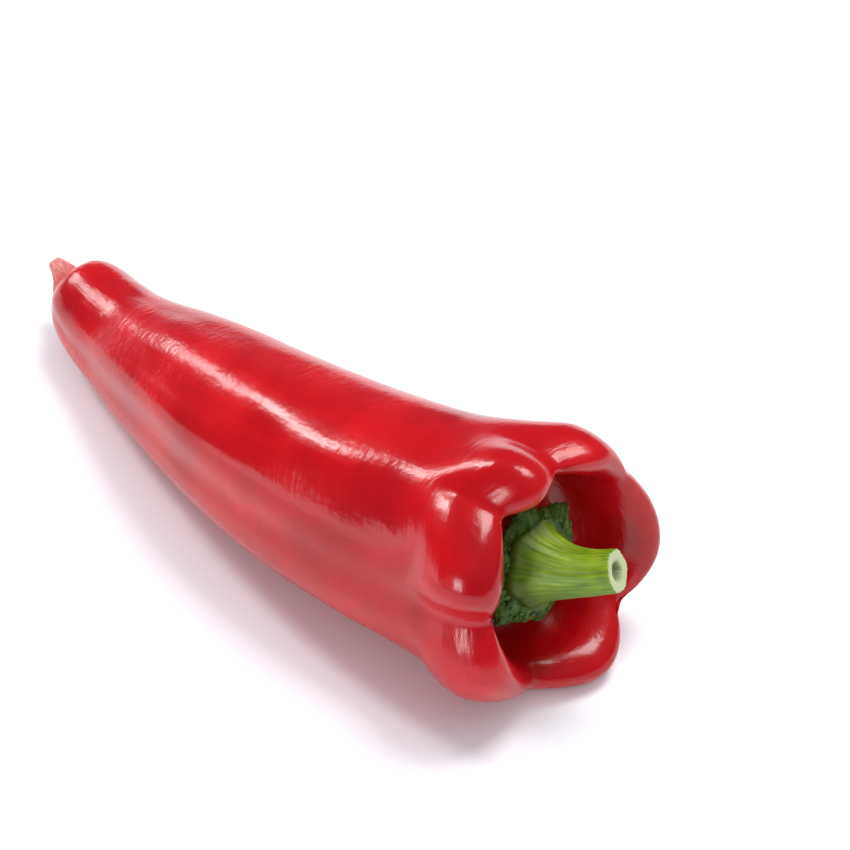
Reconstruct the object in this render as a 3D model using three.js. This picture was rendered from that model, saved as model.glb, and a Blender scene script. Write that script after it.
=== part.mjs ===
// A capia pepper lying on its side: the fruit, its calyx and its cut stem.
// Millimetres, +Z up. The tip points to -X and the stem end to +X.
// The origin is under the middle of the whole thing, on the surface that it lies on.

import * as THREE from 'three';

// ---- Driving dimensions ----

// The fruit is a run of round sections square to a bowed spine.
// Each row is: x, section radius, and y and z of the section's centre.
const SPINE = [
  [-3, 1.8, -0.8, 16.2],
  [-1.1, 2.6, -0.8, 15.6],
  [0.6, 3.5, -0.8, 14.7],
  [2.2, 5.1, -0.8, 13.4],
  [5.2, 8.2, -0.8, 12.7],
  [10, 10.6, -1.2, 12.7],
  [19, 12.2, -2.7, 12.5],
  [29, 13.5, -4.2, 13.3],
  [41, 15.8, -5.8, 15.4],
  [57, 18.7, -7.2, 18.6],
  [77, 21.5, -9.0, 21.7],
  [97, 23.6, -9.0, 24.1],
  [115, 25.0, -7.4, 26.0],
  [130, 26.3, -4.4, 27.2],
  [141, 27.4, -1.7, 28.3],
  [151, 28.2, 0.0, 29.4],
];

// The rim at the stem end swells into lobes with folds between them. Angles run from +Y up
// towards +Z. The radii are at the shoulder, on the crest and at the throat of the hollow,
// height is the crest's, past the spine's end, sharp runs from 0, a soft wave, to 1, a tight
// crease, and groove is how deep a fold is cut over the roll.
const RIM = [
  { angle: 27, lobe: false, shoulder: 28.8, crest: 25.0, height: 9.0, throat: 21.0, sharp: 0.3, groove: 0.9 },
  { angle: 50, lobe: true, shoulder: 30.2, crest: 26.0, height: 7.7, throat: 20.5, sharp: 0, groove: 0 },
  { angle: 76, lobe: false, shoulder: 28.4, crest: 23.6, height: 4.2, throat: 20.0, sharp: 0.4, groove: 1.4 },
  { angle: 97, lobe: true, shoulder: 30.4, crest: 25.0, height: 5.8, throat: 19.0, sharp: 0, groove: 0 },
  { angle: 116, lobe: false, shoulder: 28.8, crest: 24.8, height: 1.0, throat: 19.0, sharp: 0.6, groove: 1.1 },
  { angle: 152, lobe: true, shoulder: 31.4, crest: 24.5, height: 6.3, throat: 18.5, sharp: 0, groove: 0 },
  { angle: 172, lobe: false, shoulder: 27.6, crest: 20.6, height: 4.3, throat: 18.0, sharp: 0.5, groove: 1.1 },
  { angle: 203, lobe: true, shoulder: 31.0, crest: 24.0, height: 7.3, throat: 19.0, sharp: 0, groove: 0 },
  { angle: 247, lobe: false, shoulder: 30.0, crest: 24.8, height: 5.2, throat: 20.0, sharp: 0.4, groove: 1.1 },
  { angle: 281, lobe: true, shoulder: 30.5, crest: 25.5, height: 12.8, throat: 20.5, sharp: 0, groove: 0 },
  { angle: 310, lobe: false, shoulder: 27.6, crest: 22.8, height: 9.3, throat: 19.0, sharp: 0.6, groove: 1.4 },
  { angle: 342, lobe: true, shoulder: 30.4, crest: 26.0, height: 12.3, throat: 20.5, sharp: 0, groove: 0 },
];
const LOBE_REACH = 12;        // the lobes fade out over this length down the body
const ROLL_HEIGHT = 10;       // from the shoulder's ring to the crest
const SHIFT_REACH = 26;       // the body follows the rim's ups and downs over this length

// Shallow furrows run along the body from the folds: angle, depth and half width in degrees.
const FURROWS = [
  [40, 1.0, 20],
  [80, 0.6, 14],
  [171, 1.1, 10],
  [225, 0.6, 16],
  [318, 0.9, 22],
];
const FURROW_FADE = 60;       // length over which a furrow deepens from the tip
const FURROW_EASE = 0.6;      // share of a furrow that is gone at the shoulder

// Swellings and dents of the body: x, angle, half length, half width in degrees, and height.
const SWELLINGS = [
  [112, 122, 12, 14, 0.9],
  [126, 152, 12, 18, -0.8],
  [134, 97, 7, 16, -0.6],
  [88, 112, 9, 12, 0.4],
  [65, 149, 38, 12, 0.9],
  [70, 132, 30, 9, -0.4],
];

// Grooves cut the roll along its folds, and the lobes puff up between them.
const GROOVE_WIDTH = 7;       // degrees over which a groove dies away
const GROOVE_START = 140;     // x at which the grooves begin
const GROOVE_END = 0.4;       // share of the grooves left at the throat
const PUFF = 0.7;             // how far a lobe swells

// The underside settles flat where the fruit lies on a surface.
const SURFACE_Z = 0.8;
const SETTLE = 0.2;           // height over which the flat rounds into the sides

// The hollow behind the rim: a steep wall, a moat, and a leaning seat for the calyx.
const THROAT_DEPTH = 9;       // from the crest down to the throat
const MOAT_SINK = 7;          // the moat's bottom below its two edges
const SEAT_HEIGHT = -2.5;     // the seat's centre, from the spine's end
const SEAT_RADIUS = 11.5;
const SEAT_LEAN = 9;          // degrees that the seat faces away from the spine
const SEAT_LEAN_ANGLE = 130;  // and the angle that it leans towards

// The calyx is a thin six-pointed collar lying on the seat.
const GAP = 0.35;             // clearance between touching pieces
const CALYX_RADIUS = 12.6;
const TOOTH_COUNT = 6;
const TOOTH_TURN = 30;        // angle of the first tooth
const TOOTH_LENGTH = 2.4;
const CALYX_EDGE = 1.4;       // thickness at the edge
const CALYX_CROWN = 3.2;      // thickness in the middle
const CROWN_RADIUS = 10.6;

// The stem, from the calyx to the cut end: each row is the height, the offsets along the
// seat's level and upright axes, and the radius.
const STEM = [
  [0.0, -0.5, 1.4, 9.4],
  [2.5, -0.2, 1.4, 7.5],
  [7.0, 0.9, 1.3, 5.8],
  [12.0, 2.9, 1.5, 4.95],
  [17.0, 5.1, 2.4, 4.7],
];
const STEM_RIBS = 6;
const RIB_DEPTH = 0.3;

const TIP_ROUND = 0.8;        // how far the dried tip's end bulges

// Mesh fineness.
const AROUND = 72;
const BODY_ROWS = 26;
const ROLL_ROWS = 7;
const MOAT_ROWS = 7;
const CALYX_AROUND = 48;
const STEM_AROUND = 30;
const STEM_ROWS = 12;

// ---- Helpers ----

// Smooth curve through one column of a table whose first column rises.
function along(table, x, column) {
  const last = table.length - 2;
  let i = 0;
  while (i < last && x > table[i + 1][0]) {
    i += 1;
  }
  const slope = (k) => {
    const below = table[Math.max(k - 1, 0)];
    const above = table[Math.min(k + 1, table.length - 1)];
    return (above[column] - below[column]) / (above[0] - below[0]);
  };
  const width = table[i + 1][0] - table[i][0];
  const s = (x - table[i][0]) / width;
  const start = table[i][column];
  const end = table[i + 1][column];
  return start * (1 + 2 * s) * (1 - s) ** 2 + end * s * s * (3 - 2 * s)
    + width * s * (1 - s) * (slope(i) * (1 - s) - slope(i + 1) * s);
}

// Difference between two angles in degrees, from -180 to 180.
function turn(from, to) {
  return ((to - from + 540) % 360) - 180;
}

// The lobe and the fold on either side of an angle, and the lobe's share there. A crease of 0
// takes every fold as a soft wave.
function rimPlace(angle, crease) {
  const count = RIM.length;
  const next = RIM.findIndex((spot) => spot.angle > angle);
  const after = RIM[next < 0 ? 0 : next];
  const before = RIM[(next < 0 ? count - 1 : next + count - 1) % count];
  const span = Math.abs(turn(before.angle, after.angle));
  const [lobe, fold] = before.lobe ? [before, after] : [after, before];
  const s = Math.min(Math.abs(turn(lobe.angle, angle)) / span, 1);
  const soft = 0.5 + 0.5 * Math.cos(Math.PI * s);
  const tight = Math.sqrt(1 - s * s);
  const share = THREE.MathUtils.lerp(soft, tight, fold.sharp * crease);
  return { lobe, fold, share };
}

// A value of the rim at any angle.
function rimValue(angle, field, crease = 1) {
  const { lobe, fold, share } = rimPlace(angle, crease);
  return THREE.MathUtils.lerp(fold[field], lobe[field], share);
}

// The spine's centre and its section axes at x: forward, level and upright.
function section(x) {
  const step = 0.5;
  const at = (u) => new THREE.Vector3(u, along(SPINE, u, 2), along(SPINE, u, 3));
  const low = Math.max(x - step, SPINE[0][0]);
  const high = Math.min(x + step, SHOULDER_X);
  const forward = at(high).sub(at(low)).normalize();
  const level = new THREE.Vector3(-forward.y, forward.x, 0).normalize();
  const upright = new THREE.Vector3().crossVectors(forward, level);
  return { centre: at(x), forward, level, upright };
}

const TIP_X = SPINE[0][0];
const SHOULDER_X = SPINE[SPINE.length - 1][0];
const SHOULDER_RADIUS = SPINE[SPINE.length - 1][1];
const RIM_FRAME = section(SHOULDER_X);

// A frame's point from a height along its forward axis and two offsets across it.
function framePoint(frame, height, level, upright) {
  return frame.centre.clone()
    .addScaledVector(frame.forward, height)
    .addScaledVector(frame.level, level)
    .addScaledVector(frame.upright, upright);
}

// The point at an angle and radius on a frame's section.
function polar(frame, height, radius, angle) {
  const radians = THREE.MathUtils.degToRad(angle);
  return framePoint(frame, height, radius * Math.cos(radians), radius * Math.sin(radians));
}

// The seat's frame, leaning away from the spine.
function seatFrame() {
  const lean = THREE.MathUtils.degToRad(SEAT_LEAN);
  const centre = framePoint(RIM_FRAME, SEAT_HEIGHT, 0, 0);
  const towards = polar(RIM_FRAME, 0, 1, SEAT_LEAN_ANGLE).sub(RIM_FRAME.centre);
  const forward = RIM_FRAME.forward.clone().multiplyScalar(Math.cos(lean))
    .addScaledVector(towards, Math.sin(lean));
  const level = RIM_FRAME.level.clone()
    .addScaledVector(forward, -RIM_FRAME.level.dot(forward))
    .normalize();
  const upright = new THREE.Vector3().crossVectors(forward, level);
  return { centre, forward, level, upright };
}

const SEAT_FRAME = seatFrame();

// A closed skin over rings of equal count, with one point closing each end.
function skin(first, rings, last) {
  const points = [first, ...rings.flat(), last];
  const count = rings[0].length;
  const faces = [];
  const end = points.length - 1;
  const lastRing = 1 + (rings.length - 1) * count;
  for (let j = 0; j < count; j += 1) {
    const k = (j + 1) % count;
    faces.push(0, 1 + k, 1 + j);
    for (let i = 0; i < rings.length - 1; i += 1) {
      const a = 1 + i * count;
      const b = a + count;
      faces.push(a + j, a + k, b + k);
      faces.push(a + j, b + k, b + j);
    }
    faces.push(end, lastRing + j, lastRing + k);
  }
  const geometry = new THREE.BufferGeometry();
  const positions = new Float32Array(points.flatMap((p) => [p.x, p.y, p.z]));
  geometry.setAttribute('position', new THREE.BufferAttribute(positions, 3));
  geometry.setIndex(faces);
  geometry.computeVertexNormals();
  return geometry;
}

// A ring of points, one for each angle.
function ringOf(count, pointAt) {
  return Array.from({ length: count }, (_, j) => pointAt((360 * j) / count));
}

// A quarter of an ellipse between two points, bulging towards a corner: s runs from 0 to 1.
function quarter(from, corner, to, s) {
  const turned = (Math.PI / 2) * s;
  return corner.clone()
    .addScaledVector(from.clone().sub(corner), Math.cos(turned))
    .addScaledVector(to.clone().sub(corner), Math.sin(turned));
}

// ---- Fruit ----

function furrowDepth(angle, x) {
  const fade = THREE.MathUtils.clamp(x / FURROW_FADE, 0, 1);
  return FURROWS.reduce((sum, [middle, depth, half]) => {
    const s = turn(middle, angle) / half;
    return sum + depth * fade * Math.exp(-s * s);
  }, 0);
}

function swelling(angle, x) {
  return SWELLINGS.reduce((sum, [place, middle, length, half, height]) => {
    const away = ((x - place) / length) ** 2 + (turn(middle, angle) / half) ** 2;
    return sum + height * Math.exp(-away);
  }, 0);
}

function bodyRadius(angle, x) {
  const lobing = rimValue(angle, 'shoulder', 0) - SHOULDER_RADIUS;
  const fade = Math.exp(-(((SHOULDER_X - x) / LOBE_REACH) ** 2));
  const furrow = furrowDepth(angle, x) * (1 - FURROW_EASE * fade);
  return along(SPINE, x, 1) + lobing * fade - furrow + swelling(angle, x);
}

function bodyPoint(angle, x) {
  const shift = rimValue(angle, 'height', 0) - ROLL_HEIGHT;
  const fade = Math.exp(-(SHOULDER_X - x) / SHIFT_REACH);
  return polar(section(x), shift * fade, bodyRadius(angle, x), angle);
}

// The surface settles softly onto the plane that the fruit lies on.
function settle(point) {
  const rise = point.z - SURFACE_Z;
  point.setZ(SURFACE_Z + 0.5 * (rise + Math.hypot(rise, SETTLE)));
  return point;
}

// How far the grooves and the puffed lobes move the roll's surface outwards at an angle.
function rollPush(angle) {
  return RIM.filter((spot) => !spot.lobe).reduce(
    (sum, fold) => sum - fold.groove * Math.exp(-Math.abs(turn(fold.angle, angle)) / GROOVE_WIDTH),
    PUFF * rimPlace(angle, 0).share,
  );
}

// Move each ring's points along the surface's normal by the roll's push, as far as the ring's
// share of it.
function pinch(rings, shares) {
  const pushes = ringOf(AROUND, rollPush);
  return rings.map((ring, i) => ring.map((point, j) => {
    const around = ring[(j + 1) % AROUND].clone().sub(ring[(j + AROUND - 1) % AROUND]);
    const onwards = rings[Math.min(i + 1, rings.length - 1)][j].clone().sub(rings[Math.max(i - 1, 0)][j]);
    return point.clone().addScaledVector(around.cross(onwards).normalize(), pushes[j] * shares[i]);
  }));
}

function fruit() {
  const crest = (angle) => polar(RIM_FRAME, rimValue(angle, 'height'), rimValue(angle, 'crest'), angle);
  const shoulder = (angle) => bodyPoint(angle, SHOULDER_X);
  const outerCorner = (angle) => polar(
    RIM_FRAME,
    rimValue(angle, 'height') - ROLL_HEIGHT,
    rimValue(angle, 'crest'),
    angle,
  );
  const throatHeight = (angle) => rimValue(angle, 'height') - THROAT_DEPTH;
  const throat = (angle) => polar(RIM_FRAME, throatHeight(angle), rimValue(angle, 'throat'), angle);
  const innerCorner = (angle) => polar(RIM_FRAME, throatHeight(angle), rimValue(angle, 'crest'), angle);
  const seatEdge = (angle) => polar(SEAT_FRAME, 0, SEAT_RADIUS, angle);
  const rings = [];
  const shares = [];
  for (let i = 0; i < BODY_ROWS; i += 1) {
    const x = TIP_X + (SHOULDER_X - TIP_X) * (i / BODY_ROWS) ** 1.4;
    rings.push(ringOf(AROUND, (angle) => bodyPoint(angle, x)));
    shares.push(THREE.MathUtils.smoothstep(x, GROOVE_START, SHOULDER_X));
  }
  // Outer half of the roll, from the shoulder to the crest.
  for (let i = 0; i < ROLL_ROWS; i += 1) {
    const s = i / ROLL_ROWS;
    rings.push(ringOf(AROUND, (angle) => quarter(shoulder(angle), outerCorner(angle), crest(angle), s)));
    shares.push(1);
  }
  // Inner half, from the crest down to the throat.
  for (let i = 0; i < ROLL_ROWS; i += 1) {
    const s = i / ROLL_ROWS;
    rings.push(ringOf(AROUND, (angle) => quarter(crest(angle), innerCorner(angle), throat(angle), s)));
    shares.push(THREE.MathUtils.lerp(1, GROOVE_END, s));
  }
  // The moat, from the throat round its bottom and up to the seat.
  for (let i = 0; i <= MOAT_ROWS; i += 1) {
    const s = i / MOAT_ROWS;
    const sweep = 0.5 - 0.5 * Math.cos(Math.PI * s);
    const sink = MOAT_SINK * Math.sin(Math.PI * s);
    rings.push(ringOf(AROUND, (angle) => throat(angle)
      .lerp(seatEdge(angle), sweep)
      .addScaledVector(RIM_FRAME.forward, -sink)));
    shares.push(GROOVE_END * (1 - THREE.MathUtils.smoothstep(s, 0, 0.5)));
  }
  const settled = pinch(rings, shares).map((ring) => ring.map(settle));
  return skin(framePoint(section(TIP_X), -TIP_ROUND, 0, 0), settled, SEAT_FRAME.centre);
}

// ---- Calyx ----

function toothed(angle, radius, length) {
  const s = Math.abs(turn(0, ((angle - TOOTH_TURN + 360) * TOOTH_COUNT) % 360)) / 180;
  return radius + length * (1 - s) ** 1.5;
}

function calyx() {
  // Each row is the share of the radius, the share of the teeth and the height.
  const rows = [
    [0.5, 0, 0],
    [0.97, 1, 0],
    [1.0, 1, 0.5 * CALYX_EDGE],
    [0.97, 1, CALYX_EDGE],
  ];
  const rings = rows.map(([share, tooth, height]) => ringOf(CALYX_AROUND, (angle) => polar(
    SEAT_FRAME,
    GAP + height,
    toothed(angle, CALYX_RADIUS * share, TOOTH_LENGTH * tooth),
    angle,
  )));
  const crown = GAP + CALYX_CROWN;
  rings.push(ringOf(CALYX_AROUND, (angle) => polar(SEAT_FRAME, crown, CROWN_RADIUS, angle)));
  return skin(framePoint(SEAT_FRAME, GAP, 0, 0), rings, framePoint(SEAT_FRAME, crown, 0, 0));
}

// ---- Stem ----

function stem() {
  const base = GAP + CALYX_CROWN + GAP;
  const length = STEM[STEM.length - 1][0];
  const centreAt = (u) => framePoint(SEAT_FRAME, base + u, along(STEM, u, 1), along(STEM, u, 2));
  const rings = [];
  for (let i = 0; i <= STEM_ROWS; i += 1) {
    const u = length * (i / STEM_ROWS) ** 1.2;
    const ahead = centreAt(Math.min(u + 0.5, length));
    const behind = centreAt(Math.max(u - 0.5, 0));
    const forward = i === 0 ? SEAT_FRAME.forward : ahead.sub(behind).normalize();
    const level = new THREE.Vector3(-forward.y, forward.x, 0).normalize();
    const upright = new THREE.Vector3().crossVectors(forward, level);
    const frame = { centre: centreAt(u), forward, level, upright };
    const radius = along(STEM, u, 3);
    rings.push(ringOf(STEM_AROUND, (angle) => {
      const rib = RIB_DEPTH * Math.cos(THREE.MathUtils.degToRad(STEM_RIBS * angle));
      return polar(frame, 0, radius + rib, angle);
    }));
  }
  return skin(centreAt(0), rings, centreAt(length));
}

// ---- The pepper ----

function piece(name, geometry, color, roughness) {
  const material = new THREE.MeshStandardMaterial({ color, roughness, metalness: 0 });
  const mesh = new THREE.Mesh(geometry, material);
  mesh.name = name;
  return mesh;
}

const pepper = new THREE.Group();
pepper.add(piece('fruit', fruit(), 0xc4101a, 0.15));
pepper.add(piece('calyx', calyx(), 0x2a5a1c, 0.55));
pepper.add(piece('stem', stem(), 0x5c8a26, 0.45));

// Stand the lowest point on the surface and centre the box over the origin.
const box = new THREE.Box3().setFromObject(pepper, true);
const middle = box.getCenter(new THREE.Vector3());
pepper.position.set(-middle.x, -middle.y, -box.min.z);

export default pepper;
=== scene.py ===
# %% [markdown]
# # A capia pepper
#
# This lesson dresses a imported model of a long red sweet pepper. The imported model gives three
# plain solids: the fruit, the calyx, which is the green collar under the stem, and the stem.
# Each of them gets a finer mesh that lies in the same place, and a material made of nodes.

# %% Load the frame
import math

import bpy
import numpy as np
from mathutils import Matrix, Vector


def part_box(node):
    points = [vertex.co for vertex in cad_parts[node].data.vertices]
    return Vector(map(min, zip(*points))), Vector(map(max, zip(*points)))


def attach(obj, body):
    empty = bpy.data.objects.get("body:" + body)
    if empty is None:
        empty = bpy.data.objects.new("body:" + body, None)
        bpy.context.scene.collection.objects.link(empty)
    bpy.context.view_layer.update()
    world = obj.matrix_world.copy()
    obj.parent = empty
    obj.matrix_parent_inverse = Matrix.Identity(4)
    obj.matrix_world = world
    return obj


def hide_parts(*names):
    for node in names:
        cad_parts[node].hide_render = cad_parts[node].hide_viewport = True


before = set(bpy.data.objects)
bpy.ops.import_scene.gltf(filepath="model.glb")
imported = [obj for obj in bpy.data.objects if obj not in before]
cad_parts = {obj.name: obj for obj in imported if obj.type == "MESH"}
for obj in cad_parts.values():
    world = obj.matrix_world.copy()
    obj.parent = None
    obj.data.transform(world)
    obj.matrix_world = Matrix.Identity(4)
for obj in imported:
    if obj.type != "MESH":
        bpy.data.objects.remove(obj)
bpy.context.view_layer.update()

# %% [markdown]
# ## Small helpers
#
# The shape is worked out in millimetres, because that is how one measures a vegetable, and is
# turned into metres when a mesh is made. Colours are written as the hex values a colour
# picker shows, which are sRGB, and one function turns them into the linear values that a
# shader wants.

# %% Helpers
MM = 0.001
SEED = 7


def linear(hex_colour, alpha=1.0):
    """An sRGB hex colour as linear RGBA."""
    parts = [int(hex_colour[i:i + 2], 16) / 255 for i in (1, 3, 5)]
    return [c / 12.92 if c <= 0.04045 else ((c + 0.055) / 1.055) ** 2.4 for c in parts] + [alpha]


def add(tree, kind, inputs=None, **settings):
    """Add a node, set its properties, and link or set its inputs by name or number."""
    node = tree.nodes.new(kind)
    for name, value in settings.items():
        setattr(node, name, value)
    for key, value in (inputs or {}).items():
        if isinstance(value, bpy.types.NodeSocket):
            tree.links.new(value, node.inputs[key])
        else:
            node.inputs[key].default_value = value
    return node


def smooth_step(low, high, value):
    """0 below low, 1 above high, and a soft climb between."""
    s = np.clip((value - low) / (high - low), 0, 1)
    return s * s * (3 - 2 * s)


# %% [markdown]
# ## How the fruit grows
#
# A capia pepper is a long bag that hangs from its stem. Seen as a shape, it is a run of round
# sections along a spine that bends a little. At the stem end the wall rolls over and dives
# back in, and because the fruit grew from several chambers, that rolled rim is not a plain
# ring: it swells into lobes, with a crease between two neighbours.
#
# One could sculpt that by hand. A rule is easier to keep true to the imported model, so two
# short tables hold the main sizes, in millimetres, and the rest is worked out from them.

# %% The spine
# Each row: x, section radius, and y and z of the section's centre.
SPINE = np.array([
    [-3, 1.8, -0.8, 16.2],
    [-1.1, 2.6, -0.8, 15.6],
    [0.6, 3.5, -0.8, 14.7],
    [2.2, 5.1, -0.8, 13.4],
    [5.2, 8.2, -0.8, 12.7],
    [10, 10.6, -1.2, 12.7],
    [19, 12.2, -2.7, 12.5],
    [29, 13.5, -4.2, 13.3],
    [41, 15.8, -5.8, 15.4],
    [57, 18.7, -7.2, 18.6],
    [77, 21.5, -9.0, 21.7],
    [97, 23.6, -9.0, 24.1],
    [115, 25.0, -7.4, 26.0],
    [130, 26.3, -4.4, 27.2],
    [141, 27.4, -1.7, 28.3],
    [151, 28.2, 0.0, 29.4],
])

# %% The rim
# Lobes and folds of the rim, by angle from +Y up towards +Z: radii at the shoulder and on the
# crest, the crest's height, the throat's radius, how sharp a fold is, and its groove's depth.
FIELDS = ("angle", "lobe", "shoulder", "crest", "height", "throat", "sharp", "groove")
RIM = [dict(zip(FIELDS, row)) for row in (
    (27, False, 28.8, 25.0, 9.0, 21.0, 0.3, 0.9),
    (50, True, 30.2, 26.0, 7.7, 20.5, 0.0, 0.0),
    (76, False, 28.4, 23.6, 4.2, 20.0, 0.4, 1.4),
    (97, True, 30.4, 25.0, 5.8, 19.0, 0.0, 0.0),
    (116, False, 28.8, 24.8, 1.0, 19.0, 0.6, 1.1),
    (152, True, 31.4, 24.5, 6.3, 18.5, 0.0, 0.0),
    (172, False, 27.6, 20.6, 4.3, 18.0, 0.5, 1.1),
    (203, True, 31.0, 24.0, 7.3, 19.0, 0.0, 0.0),
    (247, False, 30.0, 24.8, 5.2, 20.0, 0.4, 1.1),
    (281, True, 30.5, 25.5, 12.8, 20.5, 0.0, 0.0),
    (310, False, 27.6, 22.8, 9.3, 19.0, 0.6, 1.4),
    (342, True, 30.4, 26.0, 12.3, 20.5, 0.0, 0.0),
)]
LOBE_REACH = 12      # the lobes fade out over this length down the body
ROLL_HEIGHT = 10     # from the shoulder's ring to the crest
SHIFT_REACH = 26     # the body follows the rim's ups and downs over this length
print("rim has", sum(spot["lobe"] for spot in RIM), "lobes")

# %% [markdown]
# A body that followed the spine alone would look turned on a lathe. Shallow furrows run down
# from the folds, and a few broad swellings and dents break the outline. At the rim, a narrow
# groove follows each fold over the roll, and the lobes puff up between the grooves. Last, the
# fruit settles onto the table, so its underside has a soft flat.

# %% Furrows, swellings and grooves
# Shallow furrows that run down the body: angle, depth and half width in degrees.
FURROWS = ((40, 1.0, 20), (80, 0.6, 14), (171, 1.1, 10), (225, 0.6, 16), (318, 0.9, 22))
FURROW_FADE = 60     # length over which a furrow deepens from the tip
FURROW_EASE = 0.6    # share of a furrow that is gone at the shoulder

# Swellings and dents of the body: x, angle, half length in mm, half width in degrees, height.
SWELLINGS = (
    (112, 122, 12, 14, 0.9),
    (126, 152, 12, 18, -0.8),
    (134, 97, 7, 16, -0.6),
    (88, 112, 9, 12, 0.4),
    (65, 149, 38, 12, 0.9),
    (70, 132, 30, 9, -0.4),
)
CREASE_BLUR = 1.6    # degrees over which a crease is softened
GROOVE_WIDTH = 7     # degrees over which a groove dies away
GROOVE_START = 140   # x at which the grooves begin
GROOVE_END = 0.4     # share of the grooves left at the throat
PUFF = 0.7           # how far a lobe swells
SURFACE_Z = 0.8      # the table's height, on the same scale as the spine's z
SETTLE = 0.2         # height over which the flat rounds into the sides

# %% The hollow and the tip
THROAT_DEPTH = 9         # from the crest down to the throat
MOAT_SINK = 7            # the moat's bottom below its two edges
SEAT_HEIGHT = -2.5       # the calyx's seat, from the spine's end
SEAT_RADIUS = 11.5
SEAT_LEAN = 9            # degrees that the seat faces away from the spine
SEAT_LEAN_ANGLE = 130    # and the angle that it leans towards
TIP_ROUND = 0.8          # how far the dried tip's end bulges

# %% [markdown]
# Two small functions read the tables. One runs a smooth curve through a column of the
# spine's table. The other blends between a lobe and the fold beside it: a soft fold follows a
# cosine, and a sharp one a circle's edge, which meets its neighbour in a crease.


# %% Reading the tables
def along(table, x, column):
    """A smooth curve through one column of a table whose first column rises."""
    places, values = table[:, 0], table[:, column]
    count = len(places)
    k = np.arange(count)
    below, above = np.maximum(k - 1, 0), np.minimum(k + 1, count - 1)
    slopes = (values[above] - values[below]) / (places[above] - places[below])
    i = int(np.clip(np.searchsorted(places, x) - 1, 0, count - 2))
    width = places[i + 1] - places[i]
    s = (x - places[i]) / width
    return (values[i] * (1 + 2 * s) * (1 - s) ** 2 + values[i + 1] * s * s * (3 - 2 * s)
            + width * s * (1 - s) * (slopes[i] * (1 - s) - slopes[i + 1] * s))


def turn(start, end):
    """The signed turn from one angle to another, in degrees."""
    return (end - start + 540) % 360 - 180


def rim_value(angles, field, crease=1):
    """A value of the rim at each angle, between its neighbouring lobe and fold."""
    result = np.zeros(len(angles))
    for i, before in enumerate(RIM):
        after = RIM[(i + 1) % len(RIM)]
        span = abs(turn(before["angle"], after["angle"]))
        here = (angles - before["angle"]) % 360 < span
        lobe, fold = (before, after) if before["lobe"] else (after, before)
        s = np.clip(abs(turn(lobe["angle"], angles[here])) / span, 0, 1)
        soft = 0.5 + 0.5 * np.cos(np.pi * s)
        tight = np.sqrt(1 - s * s)
        share = soft + (tight - soft) * fold["sharp"] * crease
        result[here] = fold[field] + (lobe[field] - fold[field]) * share
    return result


# %% Sections across the spine
STEP = 0.5    # half the length over which a curve's direction is taken


def section(x):
    """Centre, forward, level and upright axes of the spine's section at x."""
    def centre(u):
        return np.array([u, along(SPINE, u, 2), along(SPINE, u, 3)])
    ahead, behind = min(x + STEP, SPINE[-1, 0]), max(x - STEP, SPINE[0, 0])
    forward = centre(ahead) - centre(behind)
    forward /= np.linalg.norm(forward)
    level = np.array([-forward[1], forward[0], 0])
    level /= np.linalg.norm(level)
    return centre(x), forward, level, np.cross(forward, level)


def polar(axes, height, radius, angles):
    """Points at each angle on a section, lifted along its forward axis."""
    centre, forward, level, upright = axes
    turned = np.radians(angles)[:, None]
    across = np.cos(turned) * level + np.sin(turned) * upright
    height = np.broadcast_to(height, angles.shape)[:, None]
    radius = np.broadcast_to(radius, angles.shape)[:, None]
    return centre + height * forward + radius * across


# %% Axes of the rim and of the seat
TIP_X, SHOULDER_X = SPINE[0, 0], SPINE[-1, 0]
RIM_AXES = section(SHOULDER_X)


def seat_axes():
    """Centre and axes of the calyx's seat, which leans away from the spine."""
    centre, forward, level, upright = RIM_AXES
    lean, angle = math.radians(SEAT_LEAN), math.radians(SEAT_LEAN_ANGLE)
    towards = math.cos(angle) * level + math.sin(angle) * upright
    seat_forward = math.cos(lean) * forward + math.sin(lean) * towards
    seat_level = level - level.dot(seat_forward) * seat_forward
    seat_level /= np.linalg.norm(seat_level)
    return centre + SEAT_HEIGHT * forward, seat_forward, seat_level, np.cross(seat_forward, seat_level)


SEAT_AXES = seat_axes()
print("rim faces", RIM_AXES[1].round(3), "and the seat faces", SEAT_AXES[1].round(3))


# %% [markdown]
# ## The fruit's rings
#
# The skin is a stack of rings, each with the same number of points: up the body, out over the
# roll of the rim, down its inner wall, round the moat at the bottom and up to the seat. Rings
# that all have equal counts join into neat four-sided faces, and two poles close the ends.
# Beside its place, each point keeps its growth coordinates: how far along the fruit it is and
# where around, which the skin's streaks will follow later.

# %% Rings of the body
AROUND = 320         # points in a ring
BODY_ROWS = 150
ROLL_ROWS = 40
MOAT_ROWS = 26
SEAT_ROWS = 6
TIP_CROWDING = 1.4   # above 1, the body's rings crowd towards the tip


def bell(distance):
    """1 at no distance, falling smoothly to 0 past a distance of about 2."""
    return np.exp(-distance ** 2)


def body_radius(angles, x):
    """The body's radius, with lobes near the shoulder and furrows further down."""
    fade = bell((SHOULDER_X - x) / LOBE_REACH)
    lobing = (rim_value(angles, "shoulder", 0) - SPINE[-1, 1]) * fade
    deepened = np.clip(x / FURROW_FADE, 0, 1) * (1 - FURROW_EASE * fade)
    furrows = sum(depth * bell(turn(middle, angles) / half) for middle, depth, half in FURROWS)
    swellings = sum(height * bell((x - place) / length) * bell(turn(middle, angles) / half)
                    for place, middle, length, half, height in SWELLINGS)
    return along(SPINE, x, 1) + lobing - furrows * deepened + swellings


def body_ring(angles, x):
    """One ring of the body, shifted so that it follows the rim's ups and downs."""
    shift = (rim_value(angles, "height", 0) - ROLL_HEIGHT) * math.exp(-(SHOULDER_X - x) / SHIFT_REACH)
    return polar(section(x), shift, body_radius(angles, x), angles)


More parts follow.
